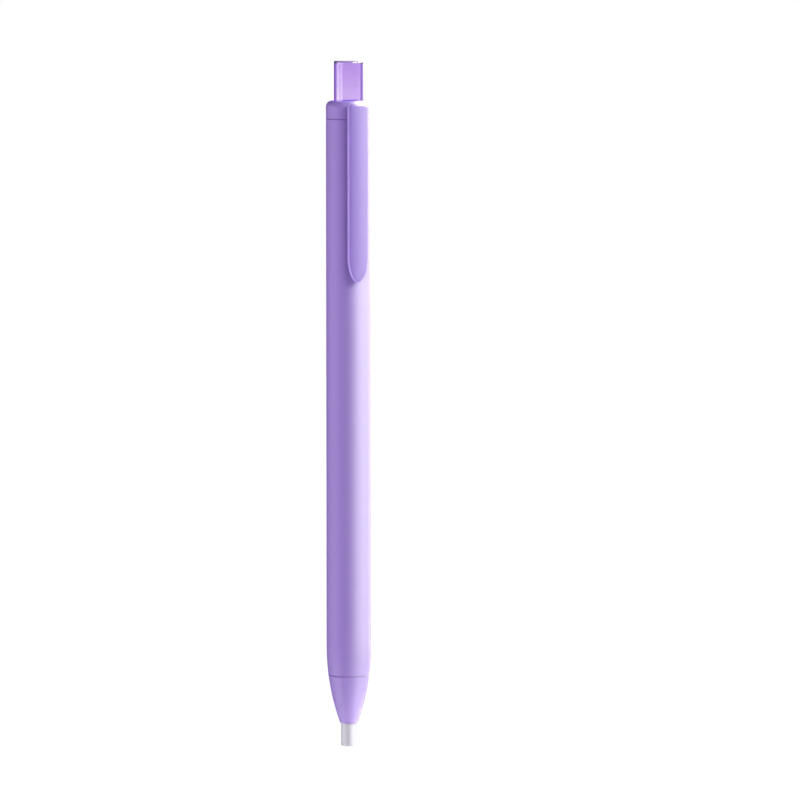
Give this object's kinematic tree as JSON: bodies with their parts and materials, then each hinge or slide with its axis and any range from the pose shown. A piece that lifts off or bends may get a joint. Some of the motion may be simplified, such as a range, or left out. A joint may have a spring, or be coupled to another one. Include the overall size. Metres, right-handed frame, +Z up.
{
  "type": "push-button eraser pen",
  "caption": "Slim push-button eraser holder with a pocket clip, a screwed nose and a sprung chuck that grips a white eraser stick.",
  "frame": {"origin": "centre of the eraser stick's end face, on the pen's axis", "axes": "+Z up the pen's axis from the eraser's tip to the button, -Y towards the pocket clip, +X to the right with the clip in front"},
  "size_m": [0.0094, 0.0115, 0.145],
  "materials": {
    "lilac_shell": "satin lilac moulded plastic",
    "violet_clip": "satin violet moulded plastic",
    "clear_violet": "clear violet polished plastic",
    "white_eraser": "white vinyl eraser",
    "natural_plastic": "uncoloured moulded plastic",
    "ring_brass": "turned brass",
    "spring_steel": "drawn spring wire",
    "soft_rubber": "soft grey rubber"
  },
  "bodies": {
    "barrel": {"barrel": "lilac_shell", "top_collar": "lilac_shell", "spring_seat": "natural_plastic", "return_spring": "spring_steel"},
    "plunger": {"push_button": "clear_violet", "eraser_tube": "natural_plastic", "chuck_body": "natural_plastic"},
    "prong_1": {"chuck_prong_1": "natural_plastic"},
    "prong_2": {"chuck_prong_2": "natural_plastic"},
    "prong_3": {"chuck_prong_3": "natural_plastic"},
    "ring": {"clutch_ring": "ring_brass"},
    "eraser": {"eraser_stick": "white_eraser"},
    "retainer": {"tip_retainer": "soft_rubber"},
    "nose": {"nose_cone": "lilac_shell"},
    "clip": {"pocket_clip": "violet_clip"}
  },
  "joints": [
    {"name": "button_press", "type": "slide", "parent": "barrel", "child": "plunger", "axis": [0, 0, -1], "range_m": [0, 0.0035], "stiffness_N_per_m": 450, "springref_m": -0.003, "deforming": ["return_spring"]},
    {"name": "prong_1_open", "type": "hinge", "parent": "plunger", "child": "prong_1", "pos_m": [0, -0.00235, 0.0253], "axis": [-1, 0, 0], "range_deg": [0, 1.51]},
    {"name": "prong_2_open", "type": "hinge", "parent": "plunger", "child": "prong_2", "pos_m": [0.00204, 0.00118, 0.0253], "axis": [0.5, -0.866, 0], "range_deg": [0, 1.51]},
    {"name": "prong_3_open", "type": "hinge", "parent": "plunger", "child": "prong_3", "pos_m": [-0.00204, 0.00118, 0.0253], "axis": [0.5, 0.866, 0], "range_deg": [0, 1.51]},
    {"name": "ring_slide", "type": "slide", "parent": "barrel", "child": "ring", "axis": [0, 0, -1], "range_m": [0, 0.00121]},
    {"name": "eraser_feed", "type": "slide", "parent": "barrel", "child": "eraser", "axis": [0, 0, -1], "range_m": [-0.0049, 0.0917]},
    {"name": "nose_travel", "type": "slide", "parent": "barrel", "child": "retainer", "axis": [0, 0, -1], "range_m": [0, 0.006]},
    {"name": "nose_turn", "type": "hinge", "parent": "retainer", "child": "nose", "pos_m": [0, 0, 0.0152], "axis": [0, 0, -1], "range_deg": [0, 2161]},
    {"name": "clip_flex", "type": "hinge", "parent": "barrel", "child": "clip", "pos_m": [0, -0.00475, 0.13565], "axis": [-1, 0, 0], "range_deg": [0, 3.5], "stiffness_Nm_per_rad": 1.2, "springref_deg": -0.57}
  ],
  "couplings": [
    {"joint": "prong_1_open", "follows": "button_press", "rad_per_m": 7.48},
    {"joint": "prong_2_open", "follows": "button_press", "rad_per_m": 7.48},
    {"joint": "prong_3_open", "follows": "button_press", "rad_per_m": 7.48},
    {"joint": "ring_slide", "follows": "button_press", "ratio": 0.34286},
    {"joint": "nose_turn", "follows": "nose_travel", "rad_per_m": 6283.2}
  ]
}
